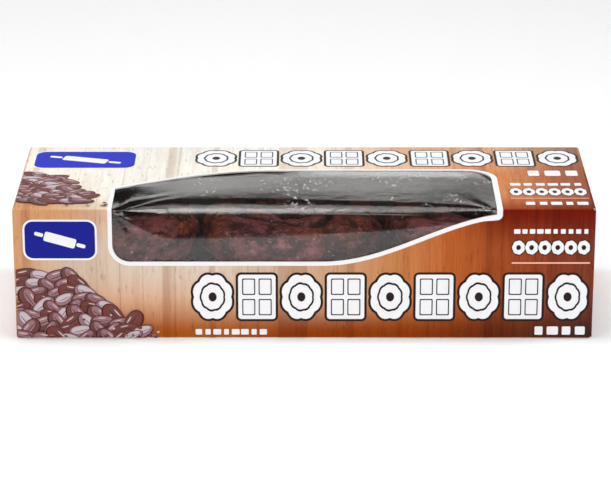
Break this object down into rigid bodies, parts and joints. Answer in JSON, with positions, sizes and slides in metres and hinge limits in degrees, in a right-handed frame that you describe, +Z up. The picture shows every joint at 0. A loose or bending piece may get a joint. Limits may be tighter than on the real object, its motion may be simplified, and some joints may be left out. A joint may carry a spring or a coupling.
{
  "type": "carton of old fashioned doughnuts",
  "caption": "Shut board carton with a film window over its front top edge, through which frosted old fashioned ring doughnuts show in rows.",
  "frame": {"origin": "middle of the carton's base, where it lies on the table", "axes": "+X along the carton to the right as seen from the front, +Y from the windowed front panel to the back, +Z up"},
  "size_m": [0.262, 0.09, 0.0625],
  "materials": {
    "printed_board": "printed and lightly varnished",
    "clear_film": "clear and glossy",
    "frosting": "chocolate frosting over a crisp crumb"
  },
  "bodies": {
    "root": {"carton": "printed_board", "window_film": "clear_film", "doughnut_lower_left": "frosting", "doughnut_lower_middle": "frosting", "doughnut_lower_right": "frosting", "doughnut_upper_left": "frosting", "doughnut_upper_middle": "frosting", "doughnut_upper_right": "frosting"}
  },
  "joints": []
}
